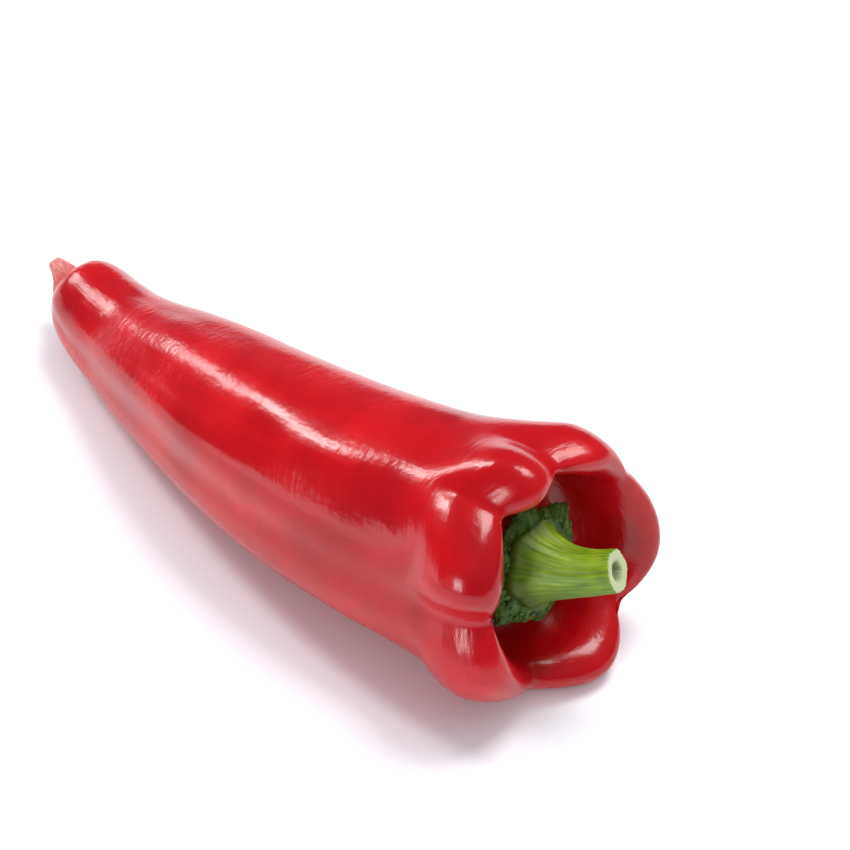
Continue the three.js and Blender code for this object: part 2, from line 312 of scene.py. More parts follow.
def quarter(start, corner, end, s):
    """A quarter of an ellipse from start to end, bulging towards the corner."""
    turned = s * math.pi / 2
    return corner + (start - corner) * math.cos(turned) + (end - corner) * math.sin(turned)


# %% [markdown]
# Two passes finish the stack. The first moves the points of the rim along the surface's normal:
# in at the folds and out on the lobes. The second is a narrow blur around each ring, because
# where two lobes meet the rule leaves a knife edge, and skin has none.


# %% Grooves, puffed lobes and softened creases
def blurred(rings):
    """Soften creases by a narrow bell curve around each ring."""
    step = 360 / rings.shape[1]
    reach = int(3 * CREASE_BLUR / step)
    weights = np.exp(-0.5 * (np.arange(-reach, reach + 1) * step / CREASE_BLUR) ** 2)
    shifted = [np.roll(rings, k, axis=1) * w for k, w in zip(range(-reach, reach + 1), weights)]
    return sum(shifted) / weights.sum()


def pinched(angles, rings, stations):
    """Cut a groove along each fold of the roll and puff up the lobes between them."""
    around_ring = np.roll(rings, -1, axis=1) - np.roll(rings, 1, axis=1)
    normal = np.cross(around_ring, np.gradient(rings, axis=0))
    normal /= np.linalg.norm(normal, axis=2, keepdims=True) + 1e-9
    grooves = sum(fold["groove"] * np.exp(-abs(turn(fold["angle"], angles)) / GROOVE_WIDTH)
                  for fold in RIM if not fold["lobe"])
    lobeness = rim_value(angles, "lobe", 0)
    shares = np.concatenate([
        smooth_step(GROOVE_START, SHOULDER_X, stations),
        np.ones(ROLL_ROWS),
        1 - (1 - GROOVE_END) * np.arange(ROLL_ROWS) / ROLL_ROWS,
        GROOVE_END * (1 - smooth_step(0, 0.5, np.arange(MOAT_ROWS) / MOAT_ROWS)),
        np.zeros(SEAT_ROWS)])
    push = (PUFF * lobeness - grooves)[None, :] * shares[:, None]
    return rings + normal * push[..., None]


# %% The whole stack of rings
def fruit_rings():
    """The angles around a ring, and all rings of the fruit from the tip to the seat."""
    angles = np.arange(AROUND) * 360 / AROUND
    height, crest = rim_value(angles, "height"), rim_value(angles, "crest")
    crest_ring = polar(RIM_AXES, height, crest, angles)
    outer_corner = polar(RIM_AXES, height - ROLL_HEIGHT, crest, angles)
    inner_corner = polar(RIM_AXES, height - THROAT_DEPTH, crest, angles)
    throat = polar(RIM_AXES, height - THROAT_DEPTH, rim_value(angles, "throat"), angles)
    seat = polar(SEAT_AXES, 0, SEAT_RADIUS, angles)
    shoulder = body_ring(angles, SHOULDER_X)
    stations = TIP_X + (SHOULDER_X - TIP_X) * (np.arange(BODY_ROWS) / BODY_ROWS) ** TIP_CROWDING
    rings = [body_ring(angles, x) for x in stations]
    rings += [quarter(shoulder, outer_corner, crest_ring, i / ROLL_ROWS) for i in range(ROLL_ROWS)]
    rings += [quarter(crest_ring, inner_corner, throat, i / ROLL_ROWS) for i in range(ROLL_ROWS)]
    for i in range(MOAT_ROWS):
        s = i / MOAT_ROWS
        sweep = 0.5 - 0.5 * math.cos(math.pi * s)
        sink = MOAT_SINK * math.sin(math.pi * s)
        rings.append(throat + (seat - throat) * sweep - sink * RIM_AXES[1])
    rings += [seat + (SEAT_AXES[0] - seat) * i / SEAT_ROWS for i in range(SEAT_ROWS)]
    rings = blurred(pinched(angles, np.array(rings), stations))
    rise = rings[..., 2] - SURFACE_Z
    rings[..., 2] = SURFACE_Z + 0.5 * (rise + np.hypot(rise, SETTLE))
    return angles, rings


angles, fruit_points = fruit_rings()
tip_point = SPINE[0, [0, 2, 3]] - TIP_ROUND * section(TIP_X)[1]
print(len(fruit_points), "rings of", AROUND, "points")

# %% [markdown]
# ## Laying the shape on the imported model
#
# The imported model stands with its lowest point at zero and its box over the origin. The same
# move is found here by laying the fine fruit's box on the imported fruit's box.

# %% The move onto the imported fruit
low, high = (np.array(corner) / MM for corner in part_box("fruit"))
own_low = np.minimum(fruit_points.min(axis=(0, 1)), tip_point)
own_high = fruit_points.max(axis=(0, 1))
MOVE = (low + high - own_low - own_high) / 2
MOVE[2] = low[2] - own_low[2]
print("moved by", MOVE.round(2), "mm; size differs by", (own_high - own_low - high + low).round(2), "mm")


# %% [markdown]
# Joining the rings into a mesh is the same job for the fruit, the calyx and the stem: a fan at
# each pole and four-sided faces between two rings. Each point can also carry its growth
# coordinates in an attribute called grain, so that a pattern bends with the piece.


# %% Making a mesh from rings
def skin_mesh(name, first, rings, last, grain=None):
    """A closed mesh over equal rings with a pole at each end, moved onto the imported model."""
    rows, count = rings.shape[:2]
    points = np.vstack([[first], rings.reshape(-1, 3), [last]])
    j = np.arange(count)
    k = (j + 1) % count
    end = len(points) - 1
    last_ring = 1 + (rows - 1) * count
    faces = np.column_stack([np.zeros(count, int), 1 + k, 1 + j]).tolist()
    for i in range(rows - 1):
        a, b = 1 + i * count, 1 + (i + 1) * count
        faces += np.column_stack([a + j, a + k, b + k, b + j]).tolist()
    faces += np.column_stack([np.full(count, end), last_ring + j, last_ring + k]).tolist()
    mesh = bpy.data.meshes.new(name)
    mesh.from_pydata(((points + MOVE) * MM).tolist(), [], faces)
    mesh.polygons.foreach_set("use_smooth", np.ones(len(mesh.polygons), bool))
    if grain is not None:
        layer = mesh.attributes.new("grain", "FLOAT_VECTOR", "POINT")
        layer.data.foreach_set("vector", np.ascontiguousarray(grain, np.float32).ravel())
    mesh.update()
    return mesh


def as_object(mesh):
    """Link a mesh into the scene as an object at the origin."""
    thing = bpy.data.objects.new(mesh.name, mesh)
    bpy.context.scene.collection.objects.link(thing)
    return thing


def grain_of(rings, first, last, radius):
    """Growth coordinates in millimetres: two around the piece, and the length along its skin."""
    steps = np.linalg.norm(np.diff(rings, axis=0), axis=2).mean(axis=1)
    length = np.concatenate([[0], np.cumsum(steps)])
    turned = np.arange(rings.shape[1]) * 2 * np.pi / rings.shape[1]
    grid = np.stack(np.broadcast_arrays(
        radius * np.cos(turned)[None, :], radius * np.sin(turned)[None, :], length[:, None]), axis=-1)
    ends = [[[0, 0, length[0]]], [[0, 0, length[-1]]]]
    return np.vstack([ends[0], grid.reshape(-1, 3), ends[1]])


# %% [markdown]
# ## Uneven skin
#
# A real skin is never as even as a rule. It swells and dips over a few centimetres, puckers
# over a few millimetres where the wall grew thicker, and both bend its reflections. That could
# be a sculpt, or a displacement texture. Here Geometry Nodes push each point along its
# normal by two layers of noise, so the depth and the size of each layer stay named inputs.


# %% Geometry Nodes: a tree with named inputs
def tree_with(name, inputs):
    """An empty Geometry Nodes tree with geometry in and out and named inputs."""
    tree = bpy.data.node_groups.new(name, "GeometryNodeTree")
    tree.interface.new_socket("Geometry", in_out="INPUT", socket_type="NodeSocketGeometry")
    for label, kind, default in inputs:
        socket = tree.interface.new_socket(label, in_out="INPUT", socket_type=kind)
        if default is not None:
            socket.default_value = default
    tree.interface.new_socket("Geometry", in_out="OUTPUT", socket_type="NodeSocketGeometry")
    return tree


# %% Geometry Nodes: relief on a skin
NOISE_TOP = 0.75    # noise hardly ever passes this, so the relief pushes inwards
# Each layer's two inputs, and how fast its noise changes along the fruit, where around is 1.
RELIEF_LAYERS = (("Swell Height", "Swell Size", 0.5), ("Pucker Height", "Pucker Size", 0.7))


def relief_tree():
    """Push points along their normals by a broad and a fine noise that follow the grain."""
    tree = tree_with("skin relief", (
        ("Swell Height", "NodeSocketFloat", 0.0004),
        ("Swell Size", "NodeSocketFloat", 24.0),
        ("Pucker Height", "NodeSocketFloat", 0.0001),
        ("Pucker Size", "NodeSocketFloat", 6.0),
        ("Material", "NodeSocketMaterial", None),
    ))
    given = add(tree, "NodeGroupInput")
    grain = add(tree, "GeometryNodeInputNamedAttribute", {"Name": "grain"}, data_type="FLOAT_VECTOR")
    normal = add(tree, "GeometryNodeInputNormal")
    pushes = []
    for height, size, stretch in RELIEF_LAYERS:
        scale = add(tree, "ShaderNodeMath", {0: 1.0, 1: given.outputs[size]}, operation="DIVIDE")
        along_grain = add(tree, "ShaderNodeVectorMath", {
            0: grain.outputs["Attribute"], 1: (1, 1, stretch)}, operation="MULTIPLY")
        noise = add(tree, "ShaderNodeTexNoise", {
            "Vector": along_grain.outputs[0], "Scale": scale.outputs[0], "Detail": 1.5, "Roughness": 0.45})
        centred = add(tree, "ShaderNodeMath", {0: noise.outputs[0], 1: NOISE_TOP}, operation="SUBTRACT")
        push = add(tree, "ShaderNodeMath", {0: centred.outputs[0], 1: given.outputs[height]},
                   operation="MULTIPLY")
        pushes.append(push.outputs[0])
    total = add(tree, "ShaderNodeMath", {0: pushes[0], 1: pushes[1]}, operation="ADD")
    offset = add(tree, "ShaderNodeVectorMath", {0: normal.outputs[0], "Scale": total.outputs[0]},
                 operation="SCALE")
    moved = add(tree, "GeometryNodeSetPosition", {
        "Geometry": given.outputs["Geometry"], "Offset": offset.outputs[0]})
    real = add(tree, "GeometryNodeRealizeInstances", {0: moved.outputs[0]})
    painted = add(tree, "GeometryNodeSetMaterial", {
        0: real.outputs[0], "Material": given.outputs["Material"]})
    add(tree, "NodeGroupOutput", {0: painted.outputs[0]})
    return tree


# %% Running a tree
def grown(thing, tree, values):
    """Run a tree on an object with values for its named inputs, and keep the result as its mesh."""
    modifier = thing.modifiers.new(tree.name, "NODES")
    modifier.node_group = tree
    for item in tree.interface.items_tree:
        if item.item_type == "SOCKET" and item.in_out == "INPUT" and item.name in values:
            modifier[item.identifier] = values[item.name]
    bpy.context.view_layer.update()
    depsgraph = bpy.context.evaluated_depsgraph_get()
    result = bpy.data.meshes.new_from_object(thing.evaluated_get(depsgraph))
    thing.modifiers.remove(modifier)
    old = thing.data
    thing.data = result
    bpy.data.meshes.remove(old)
    result.name = thing.name
    print(thing.name, "has", len(result.polygons), "faces")
    return thing


relief = relief_tree()
print("relief tree has", len(relief.nodes), "nodes")

# %% [markdown]
# ## Pepper skin
#
# The skin is a thin clear wax over a wall full of red pigment. That gives three things to the
# eye: a mirror-like gloss, a deep saturated red, and a slight glow where light spreads inside
# the wall. The material is a Principled shader with some subsurface scattering. Its base
# colour is mixed from three reds in broad patches, with darker streaks along the grain. At the
# tip, where the flower was, two dry pinkish browns take over.
#
# Three bumps break the edges of every reflection: a fine orange peel about a millimetre across,
# long streaks, and ripples that run across the fruit, stronger in some patches than in others.

# %% Material: waxed red pepper skin
SKIN_REDS = ("#9C060D", "#B40910", "#C91015")
DRY_TIPS = ("#A04A45", "#D98985")
DRY_FULL, DRY_GONE = 2.6, 7.0    # along the skin from the tip
SKIN_ROUGHNESS = (0.16, 0.24)
DRY_ROUGHNESS = 0.45             # added where the tip is dry
PATCH_SIZE = 22
PEEL_SIZE = 1.3
STREAK_WIDTH = 1.1
STREAK_STRETCH = 0.06            # how fast streaks change along the fruit, where around is 1
# The ripples are 3.5 mm wide around the fruit and 1.1 mm along it.
RIPPLE_SCALE = (1 / 3.5, 1 / 3.5, 1 / 1.1)
RIPPLE_STRENGTH = (0.1, 0.45)
BUMP_DISTANCE = 0.3 * MM


def pepper_skin():
    """Red, waxy and glossy, with a dry tip."""
    material = bpy.data.materials.new("waxed red pepper skin")
    material.use_nodes = True
    tree = material.node_tree
    tree.nodes.clear()
    grain = add(tree, "ShaderNodeAttribute", attribute_name="grain")
    long_grain = add(tree, "ShaderNodeMapping", {
        "Vector": grain.outputs["Vector"], "Scale": (1, 1, STREAK_STRETCH)})
    patches = add(tree, "ShaderNodeTexNoise", {
        "Vector": grain.outputs["Vector"], "Scale": 1 / PATCH_SIZE, "Detail": 4.0, "Roughness": 0.55})
    streaks = add(tree, "ShaderNodeTexNoise", {
        "Vector": long_grain.outputs[0], "Scale": 1 / STREAK_WIDTH, "Detail": 3.0, "Roughness": 0.6})
    cross_grain = add(tree, "ShaderNodeMapping", {"Vector": grain.outputs["Vector"], "Scale": RIPPLE_SCALE})
    ripples = add(tree, "ShaderNodeTexNoise", {
        "Vector": cross_grain.outputs[0], "Scale": 1.0, "Detail": 3.0, "Roughness": 0.55})
    peel = add(tree, "ShaderNodeTexNoise", {
        "Vector": grain.outputs["Vector"], "Scale": 1 / PEEL_SIZE, "Detail": 2.0, "Roughness": 0.5})
    dark, mid, bright = (linear(c) for c in SKIN_REDS)
    reds = add(tree, "ShaderNodeValToRGB", {"Fac": patches.outputs[0]})
    reds.color_ramp.elements[0].position = 0.3
    reds.color_ramp.elements[0].color = dark
    reds.color_ramp.elements[1].position = 0.72
    reds.color_ramp.elements[1].color = bright
    reds.color_ramp.elements.new(0.5).color = mid
    streak_share = add(tree, "ShaderNodeMapRange", {
        "Value": streaks.outputs[0], "From Min": 0.35, "From Max": 0.75, "To Min": 0.0, "To Max": 0.28})
    streaked = add(tree, "ShaderNodeMix", {
        0: streak_share.outputs[0], 6: reds.outputs[0], 7: dark}, data_type="RGBA")
    length = add(tree, "ShaderNodeSeparateXYZ", {0: grain.outputs["Vector"]})
    tip = add(tree, "ShaderNodeMapRange", {
        "Value": length.outputs[2], "From Min": DRY_FULL, "From Max": DRY_GONE,
        "To Min": 1.0, "To Max": 0.0})
    dry_share = add(tree, "ShaderNodeMapRange", {
        "Value": peel.outputs[0], "From Min": 0.3, "From Max": 0.6})
    dry = add(tree, "ShaderNodeMix", {
        0: dry_share.outputs[0], 6: linear(DRY_TIPS[0]), 7: linear(DRY_TIPS[1])}, data_type="RGBA")
    tipped = add(tree, "ShaderNodeMix", {
        0: tip.outputs[0], 6: streaked.outputs[2], 7: dry.outputs[2]}, data_type="RGBA")
    gloss = add(tree, "ShaderNodeMapRange", {
        "Value": patches.outputs[0], "From Min": 0.3, "From Max": 0.7,
        "To Min": SKIN_ROUGHNESS[0], "To Max": SKIN_ROUGHNESS[1]})
    roughness = add(tree, "ShaderNodeMath", {
        0: tip.outputs[0], 1: DRY_ROUGHNESS, 2: gloss.outputs[0]}, operation="MULTIPLY_ADD")
    peel_bump = add(tree, "ShaderNodeBump", {
        "Height": peel.outputs[0], "Strength": 0.16, "Distance": BUMP_DISTANCE})
    streak_bump = add(tree, "ShaderNodeBump", {
        "Height": streaks.outputs[0], "Strength": 0.1, "Distance": BUMP_DISTANCE,
        "Normal": peel_bump.outputs[0]})
    wrinkled = add(tree, "ShaderNodeMapRange", {
        "Value": patches.outputs[0], "From Min": 0.42, "From Max": 0.6,
        "To Min": RIPPLE_STRENGTH[0], "To Max": RIPPLE_STRENGTH[1]})
    ripple_bump = add(tree, "ShaderNodeBump", {
        "Height": ripples.outputs[0], "Strength": wrinkled.outputs[0], "Distance": BUMP_DISTANCE,
        "Normal": streak_bump.outputs[0]})
    shader = add(tree, "ShaderNodeBsdfPrincipled", {
        "Base Color": tipped.outputs[2], "Roughness": roughness.outputs[0], "IOR": 1.45,
        "Subsurface Weight": 0.12, "Subsurface Radius": (1.0, 0.12, 0.08), "Subsurface Scale": 0.002,
        "Normal": ripple_bump.outputs[0]})
    add(tree, "ShaderNodeOutputMaterial", {"Surface": shader.outputs[0]})
    return material


skin = pepper_skin()

# %% The fruit
SWELL = {"Swell Height": 0.8 * MM, "Swell Size": 20.0, "Pucker Height": 0.3 * MM, "Pucker Size": 8.0}
FRUIT_GRAIN = 22    # radius at which the growth coordinates run around the fruit

fruit_grain = grain_of(fruit_points, tip_point, SEAT_AXES[0], FRUIT_GRAIN)
fruit = as_object(skin_mesh("fruit_skin", tip_point, fruit_points, SEAT_AXES[0], fruit_grain))
grown(fruit, relief, {**SWELL, "Material": skin})
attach(fruit, "root")
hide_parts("fruit")

# %% [markdown]
# ## Calyx
#
# The calyx is what is left of the flower's green cup: a leathery collar with a blunt point for
# each old sepal, pressed onto the seat and puckered by the stem that pulls out of it. It is
# made of rings too, from under its middle, round its edge and up to the stem, with fine ridges
# that run outwards.

# %% Sizes of the calyx
GAP = 0.35               # between the seat and the calyx, and between the calyx and the stem
CALYX_RADIUS = 12.6
CALYX_TRIM = 0.5         # taken off the outline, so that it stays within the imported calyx
TOOTH_COUNT = 6
TOOTH_TURN = 30          # the angle of the first point
TOOTH_LENGTH = 2.4
CALYX_EDGE = 1.4         # thickness of the edge
EDGE_SHARE = 0.965       # share of the outline that the edge's top and bottom reach
EDGE_BULGE = 0.035       # and how much further its middle reaches
CALYX_CROWN = 3.2        # height of the middle
CROWN_RADIUS = 8.2       # radius at which the rings end, under the stem
CALYX_SINK = 0.2         # how far the underside dips into the gap
OUTLINE_WAVES = (5, 9, 14, 23)
OUTLINE_HEIGHT = 0.35
RIDGE_WAVES = (12, 18, 29, 41)
RIDGE_HEIGHT = 0.28
CALYX_AROUND = 240
EDGE_ROWS = 9
TOP_ROWS = 25
rng = np.random.default_rng(SEED)


# %% Rings of the calyx
def toothed(angles, radius, length):
    """The calyx's outline at each angle, with a point for each old sepal."""
    s = abs(turn(0, (angles - TOOTH_TURN) * TOOTH_COUNT % 360)) / 180
    return radius + length * (1 - s) ** 1.5


def wave(angles, counts, size):
    """A sum of a few waves around a ring, with seeded phases."""
    phases = rng.uniform(0, 2 * np.pi, len(counts))
    return sum(size / math.sqrt(len(counts)) * np.cos(np.radians(angles) * n + p)
               for n, p in zip(counts, phases))


def calyx_rings():
    """Rings from under the calyx's middle, round its edge and up to the stem."""
    angles = np.arange(CALYX_AROUND) * 360 / CALYX_AROUND
    outline = toothed(angles, CALYX_RADIUS, TOOTH_LENGTH) - CALYX_TRIM
    outline = outline + wave(angles, OUTLINE_WAVES, OUTLINE_HEIGHT)
    ridges = wave(angles, RIDGE_WAVES, RIDGE_HEIGHT)
    rings = [polar(SEAT_AXES, GAP - CALYX_SINK, outline * s, angles) for s in (0.3, 0.6, 0.8, 0.92)]
    for s in np.linspace(0, 1, EDGE_ROWS):
        share = EDGE_SHARE + EDGE_BULGE * math.sin(math.pi * s)
        rings.append(polar(SEAT_AXES, GAP + CALYX_EDGE * s, outline * share, angles))
    for s in np.linspace(0, 1, TOP_ROWS + 1)[1:]:
        radius = outline * EDGE_SHARE * (1 - s) + CROWN_RADIUS * s
        dome = (CALYX_CROWN - CALYX_EDGE) * math.sin(s * math.pi / 2) ** 0.9
        height = GAP + CALYX_EDGE + dome + ridges * math.sin(math.pi * s) ** 0.7
        rings.append(polar(SEAT_AXES, height, radius, angles))
    return np.array(rings)


calyx_points = calyx_rings()
calyx_first = SEAT_AXES[0] + SEAT_AXES[1] * (GAP - CALYX_SINK)
calyx_last = SEAT_AXES[0] + SEAT_AXES[1] * (GAP + CALYX_CROWN)
print("calyx is", np.ptp(calyx_points, axis=(0, 1)).round(1), "mm over its box")

# %% [markdown]
# ## Bumps on the calyx
#
# Up close a calyx is pebbled, with hundreds of soft bumps. Geometry Nodes scatter small
# flattened balls over its surface, turned to stand on it, each a different size. Their centres
# lie on the surface, so only a low cap of each shows. The seed is fixed, so the same bumps come
# back on each run.


# %% Geometry Nodes: scattered bumps
def bump_tree():
    """Scatter low round bumps over a surface and keep them with it."""
    tree = tree_with("pebbled surface", (
        ("Density", "NodeSocketFloat", 500000.0),
        ("Spacing", "NodeSocketFloat", 0.0009),
        ("Bump Radius", "NodeSocketFloat", 0.0006),
        ("Bump Height", "NodeSocketFloat", 0.5),
        ("Seed", "NodeSocketInt", SEED),
        ("Material", "NodeSocketMaterial", None),
    ))
    given = add(tree, "NodeGroupInput")
    spots = add(tree, "GeometryNodeDistributePointsOnFaces", {
        "Mesh": given.outputs["Geometry"], "Distance Min": given.outputs["Spacing"],
        "Density Max": given.outputs["Density"], "Seed": given.outputs["Seed"]},
        distribute_method="POISSON")
    ball = add(tree, "GeometryNodeMeshIcoSphere", {
        "Radius": given.outputs["Bump Radius"], "Subdivisions": 2})
    smooth = add(tree, "GeometryNodeSetShadeSmooth", {0: ball.outputs[0]})
    size = add(tree, "FunctionNodeRandomValue", {
        2: 0.5, 3: 1.25, "Seed": given.outputs["Seed"]}, data_type="FLOAT")
    flat = add(tree, "ShaderNodeMath", {0: size.outputs[1], 1: given.outputs["Bump Height"]},
               operation="MULTIPLY")
    scale = add(tree, "ShaderNodeCombineXYZ", {0: size.outputs[1], 1: size.outputs[1], 2: flat.outputs[0]})
    placed = add(tree, "GeometryNodeInstanceOnPoints", {
        "Points": spots.outputs["Points"], "Instance": smooth.outputs[0],
        "Rotation": spots.outputs["Rotation"], "Scale": scale.outputs[0]})
    real = add(tree, "GeometryNodeRealizeInstances", {0: placed.outputs[0]})
    painted = add(tree, "GeometryNodeSetMaterial", {
        0: real.outputs[0], "Material": given.outputs["Material"]})
    add(tree, "NodeGroupOutput", {0: painted.outputs[0]})
    return tree


pebbles = bump_tree()
print("bump tree has", len(pebbles.nodes), "nodes")

# %% [markdown]
# ## Green leathery calyx
#
# The calyx is dark and half matte. Its green is mottled, in patches a few millimetres across
# that run from a dark to a yellower green, and the darker ones are a little shinier. Finer
# wrinkles are a bump.


# %% Material: leathery green calyx
CALYX_GREENS = ("#26400D", "#416717", "#6A8D2C")
CALYX_ROUGHNESS = 0.5
MOTTLE_SIZE = 2.6
WRINKLE_SIZE = 0.7


def leaf_green(name, greens, roughness, size):
    """A half-matte green, mottled from dark to light."""
    material = bpy.data.materials.new(name)
    material.use_nodes = True
    tree = material.node_tree
    tree.nodes.clear()
    place = add(tree, "ShaderNodeTexCoord")
    mottle = add(tree, "ShaderNodeTexNoise", {
        "Vector": place.outputs["Object"], "Scale": 1 / (size * MM), "Detail": 5.0, "Roughness": 0.6})
    ramp = add(tree, "ShaderNodeValToRGB", {"Fac": mottle.outputs[0]})
    ramp.color_ramp.elements[0].position = 0.3
    ramp.color_ramp.elements[0].color = linear(greens[0])
    ramp.color_ramp.elements[1].position = 0.75
    ramp.color_ramp.elements[1].color = linear(greens[2])
    ramp.color_ramp.elements.new(0.52).color = linear(greens[1])
    wrinkle = add(tree, "ShaderNodeTexNoise", {
        "Vector": place.outputs["Object"], "Scale": 1 / (WRINKLE_SIZE * MM),
        "Detail": 3.0, "Roughness": 0.6})
    shine = add(tree, "ShaderNodeMapRange", {
        "Value": mottle.outputs[0], "From Min": 0.3, "From Max": 0.7,
        "To Min": roughness - 0.08, "To Max": roughness + 0.1})
    bump = add(tree, "ShaderNodeBump", {
        "Height": wrinkle.outputs[0], "Strength": 0.5, "Distance": BUMP_DISTANCE})
    shader = add(tree, "ShaderNodeBsdfPrincipled", {
        "Base Color": ramp.outputs[0], "Roughness": shine.outputs[0], "IOR": 1.42,
        "Subsurface Weight": 0.05, "Subsurface Radius": (0.3, 0.6, 0.1), "Subsurface Scale": 0.001,
        "Normal": bump.outputs[0]})
    add(tree, "ShaderNodeOutputMaterial", {"Surface": shader.outputs[0]})
    return material


calyx_green = leaf_green("leathery green calyx", CALYX_GREENS, CALYX_ROUGHNESS, MOTTLE_SIZE)

# %% The calyx
calyx = as_object(skin_mesh("calyx_collar", calyx_first, calyx_points, calyx_last))
calyx.data.materials.append(calyx_green)
bumps = as_object(calyx.data.copy())
bumps.name = "calyx_bumps"
grown(bumps, pebbles, {"Density": 700000.0, "Spacing": 0.95 * MM, "Bump Radius": 0.62 * MM,
                       "Bump Height": 0.45, "Material": calyx_green})
for piece in (calyx, bumps):
    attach(piece, "root")
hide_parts("calyx")

# %% [markdown]
# ## Stem
#
# The stem is a stout ribbed stalk. It spreads where it leaves the calyx, curves a little and
# ends in the cut of a knife or shears. Its ribs are strongest at the root and turn slowly on the
# way up. The cut face has a firm rim, a paler band and a sunken pith.

# %% Sizes of the stem
# Each row: height above the calyx, how far level and upright the centre lies, and the radius.
STEM = np.array([
    [0.0, -0.5, 1.4, 9.4],
    [2.5, -0.2, 1.4, 7.5],
    [7.0, 0.9, 1.3, 5.8],
    [12.0, 2.9, 1.5, 4.95],
    [17.0, 5.1, 2.4, 4.7],
])
STEM_LENGTH = STEM[-1, 0]
STEM_BASE = GAP + CALYX_CROWN + GAP
STEM_ROOT = 0.8          # how far the root reaches below the stem's base, into the calyx
STEM_TRIM = 0.22         # taken off the radius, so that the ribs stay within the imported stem
STEM_RIBS = 6
RIB_DEPTH = 0.3
RIB_TURN = 1.5           # degrees that the ribs turn over a millimetre
RIB_FADE = 5             # length over which the ribs grow weaker
FINE_WAVES = (17, 23, 31)
FINE_HEIGHT = 0.09
UNEVEN_WAVES = (2, 3, 5)
UNEVEN_HEIGHT = 0.12
STEM_AROUND = 180
STEM_ROWS = 70
ROOT_CROWDING = 1.1      # above 1, the rings crowd towards the root

# The cut face, inwards from its edge. Each row: share of the edge's radius, and height.
CUT_FACE = (
    (0.985, 0.0), (0.95, 0.04), (0.88, 0.02), (0.78, -0.02), (0.66, -0.06), (0.55, -0.12),
    (0.46, -0.3), (0.38, -0.8), (0.3, -1.3), (0.2, -1.6), (0.1, -1.7),
)
PITH_ROW = 7             # the row of the cut face that is taken as the pith's edge
PITH_DEPTH = 1.75


# %% Rings of the stem
def stem_axes(u):
    """Centre and axes of the stem's section at height u above the calyx."""
    def centre(v):
        seat, forward, level, upright = SEAT_AXES
        return (seat + (STEM_BASE + v) * forward + along(STEM, max(v, 0), 1) * level
                + along(STEM, max(v, 0), 2) * upright)
    forward = centre(min(u + STEP, STEM_LENGTH)) - centre(max(u - STEP, -STEM_ROOT))
    if u <= 0:
        forward = SEAT_AXES[1].copy()
    forward /= np.linalg.norm(forward)
    level = np.array([-forward[1], forward[0], 0])
    level /= np.linalg.norm(level)
    return centre(u), forward, level, np.cross(forward, level)


def stem_rings():
    """Rings from inside the calyx to the cut, and over the cut's rim into the pith."""
    angles = np.arange(STEM_AROUND) * 360 / STEM_AROUND
    fine = wave(angles, FINE_WAVES, FINE_HEIGHT)
    uneven = wave(angles, UNEVEN_WAVES, UNEVEN_HEIGHT)
    rings = []
    for i in range(STEM_ROWS + 1):
        u = -STEM_ROOT + (STEM_LENGTH + STEM_ROOT) * (i / STEM_ROWS) ** ROOT_CROWDING
        strength = 0.4 + 1.3 * math.exp(-max(u, 0) / RIB_FADE)
        ribs = np.cos(np.radians(STEM_RIBS * (angles + RIB_TURN * u)))
        shape = RIB_DEPTH * strength * ribs + fine + uneven
        rings.append(polar(stem_axes(u), 0, along(STEM, max(u, 0), 3) - STEM_TRIM + shape, angles))
    cut = stem_axes(STEM_LENGTH)
    radius = np.linalg.norm(rings[-1] - cut[0], axis=1)
    rings += [polar(cut, height, radius * share, angles) for share, height in CUT_FACE]
    return np.array(rings), cut


stem_points, cut_axes = stem_rings()
stem_first = stem_points[0].mean(axis=0)
stem_last = cut_axes[0] - PITH_DEPTH * cut_axes[1]
print("stem is", round(float(np.linalg.norm(cut_axes[0] - stem_first)), 1), "mm from calyx to cut")

# %% [markdown]
# ## Green stem
#
# A stem shows long fibres under a thin skin, from deep green to a light yellow green. Painted shade
# makes it deeper green near the calyx and on its lower side. The colour follows the growth
# coordinates, stretched along the stem. The cut is drawn by the same coordinates: everything past the
# stem's
# length is cut tissue, pale at the rim and darker in the pith.

# %% Material: fibrous green stem
STEM_GREENS = ("#426C0E", "#90AA1E")
# painted shade: the colour of the stem's lower side, darker as if turned away from the lights overhead
UNDERSIDE_SHADE_GREEN = "#3C6412"
# painted shade: the colour of the stem's first millimetres, where it leaves the calyx in the hollow
ROOT_SHADE_GREEN = "#2C4D15"
CUT_GREEN = "#B6BF8A"
PITH_GREEN = "#5D6B35"
FIBRE_WIDTH = 0.55
FIBRE_STRETCH = 0.07    # how fast fibres change along the stem, where around is 1
CLOUD_SIZE = 5
stem_steps = np.linalg.norm(np.diff(stem_points, axis=0), axis=2).mean(axis=1)
CUT_LENGTH = float(stem_steps[:STEM_ROWS].sum())
PITH_LENGTH = float(stem_steps[:STEM_ROWS + PITH_ROW].sum())


